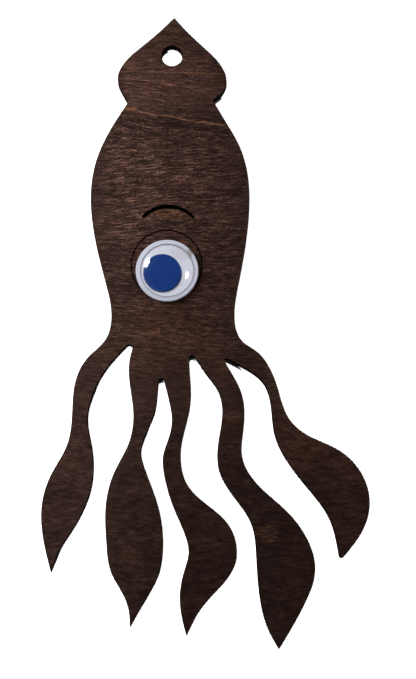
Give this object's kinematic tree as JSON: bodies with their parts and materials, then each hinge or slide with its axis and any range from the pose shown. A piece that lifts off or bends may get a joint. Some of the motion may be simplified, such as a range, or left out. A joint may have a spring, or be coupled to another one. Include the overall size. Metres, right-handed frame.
{
  "type": "laser-cut wooden squid ornament",
  "caption": "Flat dark-stained plywood squid cut-out with wavy arms, a hanging hole, a slot brow and a glued googly eye.",
  "frame": {"origin": "middle of the bounding box on the table, under the flat back", "axes": "+X to the right and +Y up towards the fin tip as the squid is seen from the front, +Z out of the face with the eye"},
  "size_m": [0.1036, 0.2048, 0.0091],
  "materials": {
    "stained_plywood": "dark walnut stain, satin, with burnt laser-cut edges",
    "white_plastic": "glossy white",
    "clear_plastic": "clear, glossy",
    "blue_plastic": "satin deep blue"
  },
  "bodies": {
    "root": {"squid_cutout": "stained_plywood", "eye_backing": "white_plastic", "eye_dome": "clear_plastic", "eye_pupil": "blue_plastic"}
  },
  "joints": []
}
